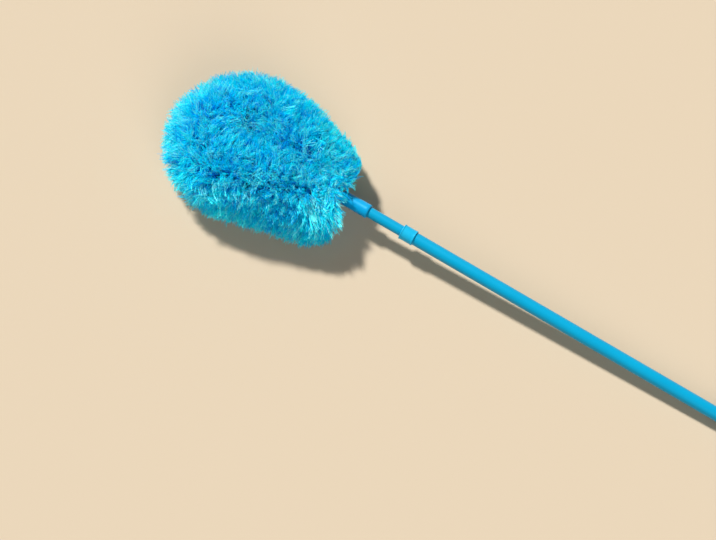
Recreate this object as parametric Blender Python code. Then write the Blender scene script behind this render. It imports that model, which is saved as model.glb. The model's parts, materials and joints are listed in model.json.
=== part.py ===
"""A fluffy duster on a telescopic pole, lying on a level surface with its head towards +X.

The head is a bent loop of twisted wire that holds bunches of fibre. A ferrule joins it to
the inner tube of a pole, which slides and twists in the outer tube to lengthen and lock.
"""

import math
import random

import bmesh
import bpy
from mathutils import Vector

# Distances are in metres. Places along the pole are counted along its axis, X, from the
# ferrule's mouth, and are positive towards the tip of the head.

# Gap between pieces that seat on each other or run past each other
CLEARANCE = 0.0003

# Pole tubes
INNER_TUBE_OD = 0.0160
INNER_TUBE_WALL = 0.0005
INNER_TUBE_LENGTH = 0.540
INNER_TUBE_SHOWS = 0.0560
OUTER_TUBE_WALL = 0.0005
OUTER_TUBE_LENGTH = 0.620
GAP_BETWEEN_TUBES = 0.0010

# Guide collar on the mouth of the outer tube
COLLAR_LENGTH = 0.0212
COLLAR_WALL = 0.0019
COLLAR_LIP = 0.0030
COLLAR_RIM_WIDTH = 0.0022
COLLAR_RIM_HEIGHT = 0.0005

# Ferrule, the socket between the head and the pole
FERRULE_LENGTH = 0.0430
FERRULE_WALL = 0.0024
FERRULE_TAPER = 0.0005
FERRULE_LIP_ROUND = 0.0012
FERRULE_FRONT_ROUND_ENDS = math.radians(22.5)
FERRULE_SOCKET = 0.0240
FERRULE_PARTITION = 0.0016
FERRULE_FRONT_WALL = 0.0014

# Rivet that holds the ferrule on the tube, on the underside
RIVET_PLACE = 0.0120
RIVET_SHANK_RADIUS = 0.0015
RIVET_HEAD_RADIUS = 0.0027
RIVET_HEAD_HEIGHT = 0.0010
RIVET_DOME = ((0.5, 0.85), (1.0, 0.4))
RIVET_TAIL_RADIUS = 0.0022
RIVET_TAIL_LENGTH = 0.0012

# Core plug, which holds the wire ends in the front of the ferrule
PLUG_FLANGE_THICKNESS = 0.0020
PLUG_FLANGE_OVERHANG = 0.0009
WIRE_SPACING = 0.0104

# Twisted core wires and the loop that they are bent to
WIRE_DIAMETER = 0.0019
WIRE_PITCH = 0.0600
WIRE_BEND_RADIUS = 0.0200
WIRE_LEAD = 0.0012
LOOP_RADIUS = 0.0500
LOOP_CENTRE = 0.2080

# Fibres, whose lengths are counted from the middle of the wires. The droop is how far a
# fibre of this length that points sideways hangs down at its tip.
FIBRE_LENGTH = 0.0620
TIP_FIBRE_EXTRA = 0.0080
LEG_FIBRE_EXTRA = 0.0050
FIBRE_VARIATION = 0.045
FIBRE_DROOP = 0.0092
UNPRESSED_SHARE = 0.45
FLAT_SHARE = 0.8
SIDE_LEAN = 0.062
SIDE_LEAN_START = 0.0300
ROOT_COMB = 0.0200
ROOT_COMB_FADE = 0.0400
LOOP_FILL = 0.90
SLEEVE_THICKNESS = 0.0024
BUNCHES = 12
BANDS_IN_BUNCH = 3
STRANDS_AROUND = 11
STRAND_SECTIONS = ((0.40, 0.0078), (0.78, 0.0100), (1.00, 0.0056))
STRAND_COMB = 0.25
STRAND_SWING = 0.15
STRAND_CROWDING = 0.8
SHORT_STRAND = 0.0300
SHORTEST_STRAND = 0.0030

# Twist lock inside the pole
SPINDLE_PLUG_LENGTH = 0.0160
SPINDLE_FLANGE = 0.0020
STUD_RADIUS = 0.0030
EXPANDER_LENGTH = 0.0240
EXPANDER_END_WALL = 0.0040
EXPANDER_THIN_END = 0.0013
EXPANDER_THICK_END = 0.0034
EXPANDER_SLOT = 0.0018
CONE_LENGTH = 0.0150
CONE_STANDS_OUT = 0.0030
CONE_TRAVEL = 0.0010
NUT_RADIUS = 0.0060
NUT_LENGTH = 0.0050

# Grip and hanger cap at the far end
GRIP_LENGTH = 0.1050
GRIP_THICKNESS = 0.0037
GRIP_GROOVES = 5
GRIP_GROOVE_DEPTH = 0.0008
GRIP_GROOVE_WIDTH = 0.0030
GRIP_END_ROUND = 0.0015
CAP_PLUG_LENGTH = 0.0140
CAP_THICKNESS = 0.0040
CAP_INSET = 0.0006
TAB_LENGTH = 0.0230
TAB_WIDTH = 0.0180
TAB_THICKNESS = 0.0060
HANGING_HOLE_RADIUS = 0.0045

# How the duster lies: the height of the pole's axis below the middle of the head
HEAD_AXIS_HEIGHT = 0.0480

# Faceting
TUBE_SIDES = 32
LOCK_SIDES = 24
SMALL_SIDES = 16
WIRE_SIDES = 6
WIRE_STEPS_A_TURN = 8
ARC_STEPS = 3
SHARP_ANGLE = math.radians(35)


def angle_where(across, along, reach):
    """The angle for which across times its sine plus along times its cosine is reach."""
    return math.asin(reach / math.hypot(across, along)) - math.atan2(along, across)


# Radii that follow from the sizes above
INNER_RADIUS = INNER_TUBE_OD / 2
INNER_BORE = INNER_RADIUS - INNER_TUBE_WALL
OUTER_BORE = INNER_RADIUS + GAP_BETWEEN_TUBES
OUTER_RADIUS = OUTER_BORE + OUTER_TUBE_WALL
SOCKET_RADIUS = INNER_RADIUS + CLEARANCE
COLLAR_BORE = OUTER_RADIUS + CLEARANCE
COLLAR_RADIUS = COLLAR_BORE + COLLAR_WALL
FERRULE_RADIUS = SOCKET_RADIUS + FERRULE_WALL
FERRULE_FRONT_RADIUS = FERRULE_RADIUS - FERRULE_TAPER
FERRULE_FRONT_BORE = FERRULE_FRONT_RADIUS - FERRULE_FRONT_WALL
PLUG_RADIUS = FERRULE_FRONT_BORE - CLEARANCE
PLUG_FLANGE_RADIUS = PLUG_RADIUS + PLUG_FLANGE_OVERHANG
WIRE_OFFSET = (WIRE_DIAMETER + CLEARANCE) / 2
WIRE_PAIR_RADIUS = WIRE_OFFSET + WIRE_DIAMETER / 2
PLUG_BORE = WIRE_PAIR_RADIUS + 2 * CLEARANCE
GRIP_BORE = OUTER_RADIUS + CLEARANCE
GRIP_RADIUS = GRIP_BORE + GRIP_THICKNESS
CAP_RADIUS = GRIP_RADIUS - CAP_INSET
STUD_BORE = STUD_RADIUS + CLEARANCE

# Places along the pole that follow from the sizes above
COLLAR_FRONT = -INNER_TUBE_SHOWS
OUTER_TUBE_FRONT = COLLAR_FRONT - COLLAR_LIP - CLEARANCE
OUTER_TUBE_BACK = OUTER_TUBE_FRONT - OUTER_TUBE_LENGTH
INNER_TUBE_FRONT = FERRULE_SOCKET - CLEARANCE
INNER_TUBE_BACK = INNER_TUBE_FRONT - INNER_TUBE_LENGTH
PLUG_BACK = FERRULE_SOCKET + FERRULE_PARTITION + CLEARANCE
PLUG_FRONT = FERRULE_LENGTH + CLEARANCE + PLUG_FLANGE_THICKNESS
WIRE_START = PLUG_BACK + WIRE_LEAD
WIRE_BEND_START = PLUG_FRONT + WIRE_LEAD
SPINDLE_BACK = INNER_TUBE_BACK - CLEARANCE - SPINDLE_FLANGE
EXPANDER_FRONT = SPINDLE_BACK - CLEARANCE
EXPANDER_BACK = EXPANDER_FRONT - EXPANDER_LENGTH
CONE_BACK = EXPANDER_BACK - CONE_STANDS_OUT
NUT_FRONT = CONE_BACK - CONE_TRAVEL - CLEARANCE
CAP_FRONT = OUTER_TUBE_BACK - CLEARANCE

# The loop: straight legs that leave the plug, lean out and run into a round end
LEG_LEAN = angle_where(
    LOOP_CENTRE - WIRE_BEND_START,
    WIRE_SPACING / 2 + WIRE_BEND_RADIUS,
    LOOP_RADIUS + WIRE_BEND_RADIUS,
)
LEG_LENGTH = (
    LOOP_CENTRE - WIRE_BEND_START - (LOOP_RADIUS + WIRE_BEND_RADIUS) * math.sin(LEG_LEAN)
) / math.cos(LEG_LEAN)
LOOP_TURN = math.pi + 2 * LEG_LEAN
WIRE_STRETCHES = (
    (WIRE_BEND_START - WIRE_START, 0.0),
    (WIRE_BEND_RADIUS * LEG_LEAN, LEG_LEAN),
    (LEG_LENGTH, 0.0),
    (LOOP_RADIUS * LOOP_TURN, -LOOP_TURN),
    (LEG_LENGTH, 0.0),
    (WIRE_BEND_RADIUS * LEG_LEAN, LEG_LEAN),
    (WIRE_BEND_START - WIRE_START, 0.0),
)
WIRE_LENGTH = sum(length for length, _ in WIRE_STRETCHES)
FIBRES_START = WIRE_STRETCHES[0][0] + WIRE_STRETCHES[1][0] + WIRE_LEAD
BUNCH_LENGTH = (WIRE_LENGTH - 2 * FIBRES_START) / BUNCHES
BAND_LENGTH = BUNCH_LENGTH / BANDS_IN_BUNCH
SECTOR = 2 * math.pi / STRANDS_AROUND
TRIANGLE_HEIGHT = math.sqrt(3) / 2
# A band is a straight chord of the loop, so its bore needs room for the arc's rise
SLEEVE_BORE = WIRE_PAIR_RADIUS + 2 * CLEARANCE + BAND_LENGTH**2 / (8 * LOOP_RADIUS)
SLEEVE_RADIUS = SLEEVE_BORE + SLEEVE_THICKNESS

# The slope of the pole, from the head's height down to the grip's back edge on the surface
GRIP_REST = OUTER_TUBE_BACK + GRIP_END_ROUND
SLOPE = angle_where(LOOP_CENTRE - GRIP_REST, GRIP_RADIUS, HEAD_AXIS_HEIGHT)
MOUTH_HEIGHT = HEAD_AXIS_HEIGHT - LOOP_CENTRE * math.sin(SLOPE)


def clear_scene():
    """Takes every object out of the scene."""
    for old in list(bpy.data.objects):
        bpy.data.objects.remove(old)


def empty(name, parent=None):
    """An empty that carries other objects."""
    holder = bpy.data.objects.new(name, None)
    bpy.context.collection.objects.link(holder)
    holder.parent = parent
    return holder


def material(name, red, green, blue, roughness, metallic=0.0):
    """A plain finish, with its colour in display values from 0 to 255."""
    finish = bpy.data.materials.new(name)
    finish.use_nodes = True
    shader = finish.node_tree.nodes["Principled BSDF"]
    colour = [((value / 255 + 0.055) / 1.055) ** 2.4 for value in (red, green, blue)]
    shader.inputs["Base Color"].default_value = (*colour, 1.0)
    shader.inputs["Roughness"].default_value = roughness
    shader.inputs["Metallic"].default_value = metallic
    finish.diffuse_color = (*colour, 1.0)
    return finish


def piece(name, mesh, finish, place=0.0):
    """Makes a bmesh into an object on the pole's axis, shaded smooth between its edges."""
    bmesh.ops.recalc_face_normals(mesh, faces=mesh.faces)
    data = bpy.data.meshes.new(name)
    mesh.to_mesh(data)
    mesh.free()
    data.shade_smooth()
    data.set_sharp_from_angle(angle=SHARP_ANGLE)
    data.materials.append(finish)
    made = bpy.data.objects.new(name, data)
    bpy.context.collection.objects.link(made)
    made.parent = POLE_AXIS
    made.location.x = place
    return made


def turned(outline, sides, hollow=False):
    """A round shape about X from its outline of (x, radius) points. A hollow one closes on
    itself, and a solid one starts and ends on the axis."""
    mesh = bmesh.new()
    rings = []
    for x, radius in outline:
        around = sides if radius > 0 else 1
        turns = [2 * math.pi * k / around for k in range(around)]
        rings.append(
            [mesh.verts.new((x, radius * math.cos(a), radius * math.sin(a))) for a in turns]
        )
    pairs = list(zip(rings, rings[1:]))
    if hollow:
        pairs.append((rings[-1], rings[0]))
    for first, second in pairs:
        for k in range(sides):
            ends = (k, (k + 1) % sides)
            corners = [first[end % len(first)] for end in ends]
            corners += [second[end % len(second)] for end in reversed(ends)]
            mesh.faces.new(dict.fromkeys(corners))
    return mesh


def block(length, width, height, middle=(0.0, 0.0, 0.0)):
    """A box along X, Y and Z about its middle."""
    mesh = bmesh.new()
    bmesh.ops.create_cube(mesh, size=1.0)
    bmesh.ops.scale(mesh, vec=(length, width, height), verts=mesh.verts)
    bmesh.ops.translate(mesh, vec=middle, verts=mesh.verts)
    return mesh


def rod(radius, start, end, sides=SMALL_SIDES):
    """A plain solid cylinder about X."""
    return turned([(start, 0.0), (start, radius), (end, radius), (end, 0.0)], sides)


def pipe(bore, radius, start, end, sides=TUBE_SIDES):
    """A plain tube about X."""
    outline = [(start, bore), (start, radius), (end, radius), (end, bore)]
    return turned(outline, sides, hollow=True)


def arc(middle_x, middle_radius, size, start, end, steps=ARC_STEPS):
    """Points (x, radius) of a round edge, between two angles counted from +X."""
    turns = [start + (end - start) * step / steps for step in range(steps + 1)]
    return [
        (middle_x + size * math.cos(turn), middle_radius + size * math.sin(turn))
        for turn in turns
    ]


def helper(name, mesh, place=0.0):
    """A hidden shape that a Boolean uses."""
    shape = piece(name, mesh, HIDDEN, place)
    shape.hide_render = True
    shape.display_type = "WIRE"
    return shape


def combine(target, operation, other):
    """Adds a Boolean that cuts the other shape from the target, or joins it on."""
    modifier = target.modifiers.new(other.name, "BOOLEAN")
    modifier.operation = operation
    modifier.object = other


# Pole


def outer_tube():
    """The plain tube that the hand holds."""
    mesh = pipe(OUTER_BORE, OUTER_RADIUS, 0.0, -OUTER_TUBE_LENGTH)
    piece("outer_tube", mesh, TUBE_PAINT, OUTER_TUBE_FRONT)


def guide_collar():
    """A cap with a raised rim at each edge, a skirt over the outer tube and a lip that
    guides the inner tube."""
    band = COLLAR_RADIUS - COLLAR_RIM_HEIGHT
    edge = COLLAR_RIM_HEIGHT
    outline = [
        (0.0, SOCKET_RADIUS),
        (0.0, band),
        (-edge, COLLAR_RADIUS),
        (-COLLAR_RIM_WIDTH, COLLAR_RADIUS),
        (-COLLAR_RIM_WIDTH - edge, band),
        (COLLAR_RIM_WIDTH + edge - COLLAR_LENGTH, band),
        (COLLAR_RIM_WIDTH - COLLAR_LENGTH, COLLAR_RADIUS),
        (edge - COLLAR_LENGTH, COLLAR_RADIUS),
        (-COLLAR_LENGTH, band),
        (-COLLAR_LENGTH, COLLAR_BORE),
        (-COLLAR_LIP, COLLAR_BORE),
        (-COLLAR_LIP, SOCKET_RADIUS),
    ]
    mesh = turned(outline, TUBE_SIDES, hollow=True)
    piece("guide_collar", mesh, COLLAR_PLASTIC, COLLAR_FRONT)


def hand_grip():
    """A sleeve with shallow grooves and rounded ends, flush with the tube's back end."""
    spacing = GRIP_LENGTH / (GRIP_GROOVES + 1)
    outline = [(0.0, GRIP_BORE)]
    rounded = GRIP_RADIUS - GRIP_END_ROUND
    outline += arc(GRIP_END_ROUND, rounded, GRIP_END_ROUND, math.pi, math.pi / 2)
    for groove in range(1, GRIP_GROOVES + 1):
        middle = groove * spacing
        outline += [
            (middle - GRIP_GROOVE_WIDTH / 2, GRIP_RADIUS),
            (middle, GRIP_RADIUS - GRIP_GROOVE_DEPTH),
            (middle + GRIP_GROOVE_WIDTH / 2, GRIP_RADIUS),
        ]
    front = GRIP_LENGTH - GRIP_END_ROUND
    outline += arc(front, rounded, GRIP_END_ROUND, math.pi / 2, 0.0)
    outline += [(GRIP_LENGTH, GRIP_BORE)]
    mesh = turned(outline, LOCK_SIDES, hollow=True)
    piece("hand_grip", mesh, GRIP_PLASTIC, OUTER_TUBE_BACK)


def hanger_cap():
    """A plug in the tube's back end, a cap over it and a flat tab with a hanging hole."""
    plug = OUTER_BORE - CLEARANCE
    soft = CAP_THICKNESS / 2
    outline = [(CAP_PLUG_LENGTH, 0.0), (CAP_PLUG_LENGTH, plug), (0.0, plug)]
    outline += [(0.0, CAP_RADIUS)]
    outline += arc(soft - CAP_THICKNESS, CAP_RADIUS - soft, soft, math.pi / 2, math.pi)
    outline += [(-CAP_THICKNESS, 0.0)]
    cap = piece("hanger_cap", turned(outline, TUBE_SIDES), GRIP_PLASTIC, CAP_FRONT)
    tab = bmesh.new()
    half = TAB_WIDTH / 2
    round_middle = half - TAB_LENGTH - CAP_THICKNESS
    outline = [(-soft, -half), (-soft, half)]
    outline += arc(round_middle, 0.0, half, math.pi / 2, 3 * math.pi / 2, SMALL_SIDES)
    corners = [tab.verts.new((x, y, -TAB_THICKNESS / 2)) for x, y in outline]
    face = tab.faces.new(corners)
    raised = bmesh.ops.extrude_face_region(tab, geom=[face])["geom"]
    moved = [corner for corner in raised if isinstance(corner, bmesh.types.BMVert)]
    bmesh.ops.translate(tab, vec=(0.0, 0.0, TAB_THICKNESS), verts=moved)
    combine(cap, "UNION", helper("hanger_tab_shape", tab, CAP_FRONT))
    hole = helper(
        "hanging_hole_cutter",
        rod(HANGING_HOLE_RADIUS, -TAB_THICKNESS, TAB_THICKNESS),
        CAP_FRONT + round_middle,
    )
    hole.rotation_euler.y = math.pi / 2
    combine(cap, "DIFFERENCE", hole)


def inner_tube():
    """The thinner tube, with a hole for the ferrule's rivet."""
    mesh = pipe(INNER_BORE, INNER_RADIUS, 0.0, -INNER_TUBE_LENGTH)
    tube = piece("inner_tube", mesh, TUBE_PAINT, INNER_TUBE_FRONT)
    combine(tube, "DIFFERENCE", RIVET_CUTTER)


# Twist lock


def lock_spindle():
    """A plug pressed into the inner tube's back end, its flange and the lock's stud."""
    plug = INNER_BORE - CLEARANCE
    stud_end = NUT_FRONT - NUT_LENGTH - CLEARANCE - INNER_TUBE_BACK
    flange_back = SPINDLE_BACK - INNER_TUBE_BACK
    outline = [
        (SPINDLE_PLUG_LENGTH, 0.0),
        (SPINDLE_PLUG_LENGTH, plug),
        (-CLEARANCE, plug),
        (-CLEARANCE, INNER_RADIUS),
        (flange_back, INNER_RADIUS),
        (flange_back, STUD_RADIUS),
        (stud_end, STUD_RADIUS),
        (stud_end, 0.0),
    ]
    mesh = turned(outline, LOCK_SIDES)
    piece("lock_spindle", mesh, LOCK_PLASTIC, INNER_TUBE_BACK)


def taper_radius(place):
    """The radius of the expander's inside taper at a place on the pole."""
    radius = OUTER_BORE - CLEARANCE
    narrow = EXPANDER_FRONT - EXPANDER_END_WALL
    share = (narrow - place) / (narrow - EXPANDER_BACK)
    return radius - EXPANDER_THICK_END + share * (EXPANDER_THICK_END - EXPANDER_THIN_END)


def expander_sleeve():
    """A sleeve with an inside taper, slotted so that the cone can spread it."""
    radius = OUTER_BORE - CLEARANCE
    wall = -EXPANDER_END_WALL
    outline = [
        (0.0, STUD_BORE),
        (0.0, radius),
        (-EXPANDER_LENGTH, radius),
        (-EXPANDER_LENGTH, taper_radius(EXPANDER_BACK)),
        (wall, taper_radius(EXPANDER_FRONT + wall)),
        (wall, STUD_BORE),
    ]
    mesh = turned(outline, LOCK_SIDES, hollow=True)
    sleeve = piece("expander_sleeve", mesh, LOCK_PLASTIC, EXPANDER_FRONT)
    slot = EXPANDER_LENGTH - EXPANDER_END_WALL
    middle = (-EXPANDER_END_WALL - slot, 0.0, 0.0)
    across = 4 * radius
    flat = block(2 * slot, across, EXPANDER_SLOT, middle)
    upright = block(2 * slot, EXPANDER_SLOT, across, middle)
    combine(sleeve, "DIFFERENCE", helper("flat_slot_cutter", flat, EXPANDER_FRONT))
    combine(sleeve, "DIFFERENCE", helper("upright_slot_cutter", upright, EXPANDER_FRONT))


def lock_cone():
    """A cone nut that fits the expander's taper, with wings in two of its slots."""
    front = CONE_BACK + CONE_LENGTH
    outline = [
        (CONE_LENGTH, STUD_BORE),
        (CONE_LENGTH, taper_radius(front) - CLEARANCE),
        (0.0, taper_radius(CONE_BACK) - CLEARANCE),
        (0.0, STUD_BORE),
    ]
    mesh = turned(outline, LOCK_SIDES, hollow=True)
    cone = piece("lock_cone", mesh, LOCK_PLASTIC, CONE_BACK)
    length = CONE_LENGTH - 2 * CLEARANCE
    thickness = EXPANDER_SLOT - 2 * CLEARANCE
    reach = OUTER_BORE - 2 * CLEARANCE
    inside = (STUD_BORE + taper_radius(front)) / 2
    for side, name in ((1, "left_wing_shape"), (-1, "right_wing_shape")):
        middle = (CONE_LENGTH / 2, side * (inside + reach) / 2, 0.0)
        wing = block(length, reach - inside, thickness, middle)
        combine(cone, "UNION", helper(name, wing, CONE_BACK))


def stop_nut():
    """A hexagon nut on the end of the stud."""
    nut = piece("stop_nut", rod(NUT_RADIUS, -NUT_LENGTH, 0.0, 6), STEEL, NUT_FRONT)
    cutter = helper("nut_bore_cutter", rod(STUD_BORE, -2 * NUT_LENGTH, NUT_LENGTH), NUT_FRONT)
    combine(nut, "DIFFERENCE", cutter)


# Ferrule and what it holds


def ferrule():
    """A tapered socket with a rounded mouth, a partition and a seat for the core plug."""
    lip = FERRULE_LIP_ROUND
    outline = [(0.0, SOCKET_RADIUS)]
    outline += arc(lip, FERRULE_RADIUS - lip, lip, math.pi, math.pi / 2)
    front = (FERRULE_LENGTH - lip, FERRULE_FRONT_RADIUS - lip)
    outline += arc(*front, lip, math.pi / 2, FERRULE_FRONT_ROUND_ENDS, 2)
    through = (WIRE_SPACING / 2 + SOCKET_RADIUS) / 2
    outline += [
        (FERRULE_LENGTH, FERRULE_FRONT_BORE),
        (FERRULE_SOCKET + FERRULE_PARTITION, FERRULE_FRONT_BORE),
        (FERRULE_SOCKET + FERRULE_PARTITION, through),
        (FERRULE_SOCKET, through),
        (FERRULE_SOCKET, SOCKET_RADIUS),
    ]
    mesh = turned(outline, TUBE_SIDES, hollow=True)
    combine(piece("ferrule", mesh, FERRULE_PLASTIC), "DIFFERENCE", RIVET_CUTTER)


def ferrule_rivet():
    """A blind rivet through the ferrule and the tube, with its axis square to the pole."""
    tail = INNER_BORE - CLEARANCE - RIVET_TAIL_RADIUS**2 / (2 * INNER_BORE)
    head = FERRULE_RADIUS + CLEARANCE
    outline = [
        (tail - RIVET_TAIL_LENGTH, 0.0),
        (tail - RIVET_TAIL_LENGTH, RIVET_TAIL_RADIUS),
        (tail, RIVET_TAIL_RADIUS),
        (tail, RIVET_SHANK_RADIUS),
        (head, RIVET_SHANK_RADIUS),
        (head, RIVET_HEAD_RADIUS),
    ]
    for rise, share in RIVET_DOME:
        outline.append((head + rise * RIVET_HEAD_HEIGHT, share * RIVET_HEAD_RADIUS))
    outline.append((head + RIVET_HEAD_HEIGHT, 0.0))
    rivet = piece("ferrule_rivet", turned(outline, SMALL_SIDES), STEEL, RIVET_PLACE)
    rivet.rotation_euler.y = math.pi / 2


def core_plug():
    """A flanged plug in the front of the ferrule, bored for the two legs of the loop."""
    flange = PLUG_FRONT - PLUG_FLANGE_THICKNESS
    outline = [
        (PLUG_BACK, 0.0),
        (PLUG_BACK, PLUG_RADIUS),
        (flange, PLUG_RADIUS),
        (flange, PLUG_FLANGE_RADIUS),
        (PLUG_FRONT, PLUG_FLANGE_RADIUS),
        (PLUG_FRONT, 0.0),
    ]
    plug = piece("core_plug", turned(outline, TUBE_SIDES), FERRULE_PLASTIC)
    for side, name in ((1, "left_bore_cutter"), (-1, "right_bore_cutter")):
        bore = rod(PLUG_BORE, PLUG_BACK - WIRE_LEAD, PLUG_FRONT + WIRE_LEAD)
        cutter = helper(name, bore)
        cutter.location.y = side * WIRE_SPACING / 2
        combine(plug, "DIFFERENCE", cutter)


# Wire loop and fibres


def wire_station(distance):
    """The point of the wire's route at a distance from its end, its heading there, and how
    sharply it bends towards the inside of the loop."""
    place = Vector((WIRE_START, WIRE_SPACING / 2))
    heading = 0.0
    bend = 0.0
    for length, turn in WIRE_STRETCHES:
        step = min(distance, length)
        bend = -turn / length
        if turn:
            radius = length / turn
            on = heading + step / radius
            place.x += radius * (math.sin(on) - math.sin(heading))
            place.y += radius * (math.cos(heading) - math.cos(on))
            heading = on
        else:
            place += step * Vector((math.cos(heading), math.sin(heading)))
        distance -= step
        if distance <= 0:
            break
    return place, heading, bend


def pressed(height, surface):
    """The height of a fibre once what reaches down is pressed against the surface that the
    head lies on. The upper part stays, and the rest comes ever closer to the surface."""
    depth = height / surface
    if depth <= UNPRESSED_SHARE:
        return height
    rest = 1 - UNPRESSED_SHARE
    return surface * (1 - rest * math.exp((UNPRESSED_SHARE - depth) / rest))


def surface_height(x):
    """The height in the pole's frame of the surface that the duster lies on."""
    return -(MOUTH_HEIGHT + x * math.sin(SLOPE)) / math.cos(SLOPE)


def head_point(distance, out, up):
    """A point of the head, from its place along the wire and its distances outwards and
    upwards from it. The fibres droop, those nearest the pole are combed back over the
    ferrule, and the head leans to one side."""
    place, heading, _ = wire_station(distance)
    x = place.x - out * math.sin(heading)
    y = place.y + out * math.cos(heading)
    past = max(0.0, x - PLUG_FRONT)
    x -= ROOT_COMB * (up / FIBRE_LENGTH) ** 2 * math.exp(-past / ROOT_COMB_FADE)
    y += SIDE_LEAN * past**2 / (past + SIDE_LEAN_START)
    drooped = up - FIBRE_DROOP * (out / FIBRE_LENGTH) ** 2
    return Vector((x, y, pressed(drooped, surface_height(x))))


def ring_point(distance, radius, angle):
    """A point of the head at a radius from the wire, turned from outwards towards up."""
    return head_point(distance, radius * math.cos(angle), radius * math.sin(angle))


def core_wire(name, start_angle):
    """One of the two wires, wound round the other all along the loop."""
    mesh = bmesh.new()
    count = round(WIRE_LENGTH / WIRE_PITCH * WIRE_STEPS_A_TURN)
    rings = []
    for step in range(count + 1):
        distance = WIRE_LENGTH * step / count
        turn = start_angle + 2 * math.pi * distance / WIRE_PITCH
        ring = []
        for k in range(WIRE_SIDES):
            side = 2 * math.pi * k / WIRE_SIDES
            out = WIRE_OFFSET * math.cos(turn) + WIRE_DIAMETER / 2 * math.cos(side)
            up = WIRE_OFFSET * math.sin(turn) + WIRE_DIAMETER / 2 * math.sin(side)
            ring.append(mesh.verts.new(head_point(distance, out, up)))
        rings.append(ring)
    for first, second in zip(rings, rings[1:]):
        for k in range(WIRE_SIDES):
            after = (k + 1) % WIRE_SIDES
            mesh.faces.new((first[k], first[after], second[after], second[k]))
    mesh.faces.new(rings[0])
    mesh.faces.new(rings[-1])
    piece(name, mesh, STEEL)


def room_inside(distance):
    """How far the middle of the loop is from the wire, square to it."""
    place, heading, _ = wire_station(distance)
    sideways = abs(math.cos(heading))
    if abs(place.y) >= LOOP_RADIUS * sideways:
        return LOOP_RADIUS
    return abs(place.y) / sideways


def strand_reach(distance, angle, rng):
    """How far a strand stands out from the middle of the wires."""
    _, heading, bend = wire_station(distance)
    outward = math.cos(angle)
    length = FIBRE_LENGTH * (1 + FIBRE_VARIATION * rng.uniform(-1, 1))
    if outward < 0:
        half_end = STRAND_SECTIONS[-1][1] / 2 * abs(math.sin(angle))
        room = min(room_inside(distance) - CLEARANCE - half_end, LOOP_FILL * LOOP_RADIUS)
        return min(length, room / -outward)
    if bend > 0:
        return length + TIP_FIBRE_EXTRA * outward * max(0.0, -math.sin(heading)) ** 2
    along = (distance - FIBRES_START) if heading > 0 else WIRE_LENGTH - FIBRES_START - distance
    return length + LEG_FIBRE_EXTRA * outward * math.sin(math.pi * along / LEG_LENGTH)


def strand(mesh, root, corners, comb, rng):
    """Raises one strand from three corners of a sleeve, given as (distance, angle), combed
    along the wire by comb."""
    distance = sum(corner[0] for corner in corners) / 3
    angle = sum(corner[1] for corner in corners) / 3
    reach = strand_reach(distance, angle, rng)
    swing = STRAND_SWING * SECTOR * rng.uniform(-1, 1)
    if reach < SLEEVE_RADIUS + SHORTEST_STRAND:
        mesh.faces.new(root)
        return
    bend = wire_station(distance)[2]
    room = room_inside(distance)
    sections = STRAND_SECTIONS if reach > SHORT_STRAND else STRAND_SECTIONS[1:]
    ring = root
    for share, width in sections:
        radius = SLEEVE_RADIUS + (reach - SLEEVE_RADIUS) * share
        free = room + radius * math.cos(angle) - CLEARANCE
        if math.sin(angle):
            width = min(width, 2 * free / abs(math.sin(angle)))
        along = BAND_LENGTH * (1 + bend * radius * math.cos(angle))
        wide = min(STRAND_CROWDING, width / (radius * SECTOR))
        deep = min(STRAND_CROWDING, TRIANGLE_HEIGHT * width / along)
        following = []
        for corner_distance, corner_angle in corners:
            at = distance + comb * share**2 + deep * (corner_distance - distance)
            turn = angle + swing * share**2 + wide * (corner_angle - angle)
            following.append(mesh.verts.new(ring_point(at, radius, turn)))
        for k in range(3):
            after = (k + 1) % 3
            mesh.faces.new((ring[k], ring[after], following[after], following[k]))
        ring = following
    mesh.faces.new(ring)
    surfaces = [surface_height(corner.co.x) for corner in ring]
    if all(corner.co.z < FLAT_SHARE * low for corner, low in zip(ring, surfaces)):
        for corner, low in zip(ring, surfaces):
            corner.co.z = low


def fibre_bunch(number):
    """The sleeve of packed roots round a stretch of the wires, with the strands on it."""
    rng = random.Random(number)
    start = FIBRES_START + number * BUNCH_LENGTH + CLEARANCE / 2
    step = (BUNCH_LENGTH - CLEARANCE) / BANDS_IN_BUNCH
    mesh = bmesh.new()
    places = []
    outer = []
    inner = []
    for row in range(BANDS_IN_BUNCH + 1):
        turns = [(k + 0.5 * (row % 2)) * SECTOR for k in range(STRANDS_AROUND)]
        at = start + step * row
        places.append([(at, turn) for turn in turns])
        outer.append([mesh.verts.new(ring_point(at, SLEEVE_RADIUS, turn)) for turn in turns])
        inner.append([mesh.verts.new(ring_point(at, SLEEVE_BORE, turn)) for turn in turns])
    for row in range(BANDS_IN_BUNCH):
        shift = row % 2
        for k in range(STRANDS_AROUND):
            after = (k + 1) % STRANDS_AROUND
            raised = ((row, k), (row, after), (row + 1, (k + shift) % STRANDS_AROUND))
            between = ((row + 1, k), (row + 1, after), (row, (k + 1 - shift) % STRANDS_AROUND))
            for where in (raised, between):
                mesh.faces.new([inner[i][j] for i, j in where])
            mesh.faces.new([outer[i][j] for i, j in between])
            corners = [places[i][j] for i, j in raised]
            lowest = corners[0][1]
            corners = [(at, lowest + (turn - lowest) % (2 * math.pi)) for at, turn in corners]
            comb = STRAND_COMB * step * (1 if k % 2 else -1)
            strand(mesh, [outer[i][j] for i, j in raised], corners, comb, rng)
    for row in (0, BANDS_IN_BUNCH):
        for k in range(STRANDS_AROUND):
            after = (k + 1) % STRANDS_AROUND
            mesh.faces.new((outer[row][k], outer[row][after], inner[row][after], inner[row][k]))
    piece(f"fibre_bunch_{number + 1:02d}", mesh, FIBRE)


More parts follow.
